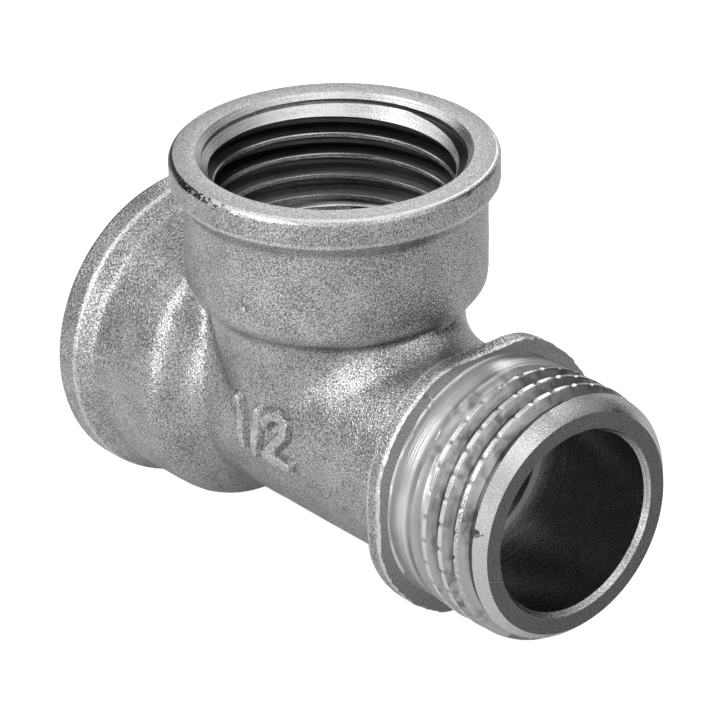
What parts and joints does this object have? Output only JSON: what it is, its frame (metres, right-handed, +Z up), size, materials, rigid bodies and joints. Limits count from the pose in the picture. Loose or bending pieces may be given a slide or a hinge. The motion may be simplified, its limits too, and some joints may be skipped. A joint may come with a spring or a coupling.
{
  "type": "threaded tee",
  "caption": "Pipe tee forged in one piece: a female socket at one end of the run, a male thread at the other, and a female socket on the branch.",
  "frame": {"origin": "where the axis of the run and the axis of the branch cross, in the middle of the waterway", "axes": "+X along the run towards the male thread, +Z up the branch, +Y away from the side with the raised size mark"},
  "size_m": [0.0482, 0.026, 0.0348],
  "materials": {
    "nickel_plated_brass": "nickel plated, shot-blasted forged skin, turned and bright on the threads, bores and faces"
  },
  "bodies": {
    "root": {"tee_body": "nickel_plated_brass"}
  },
  "joints": []
}
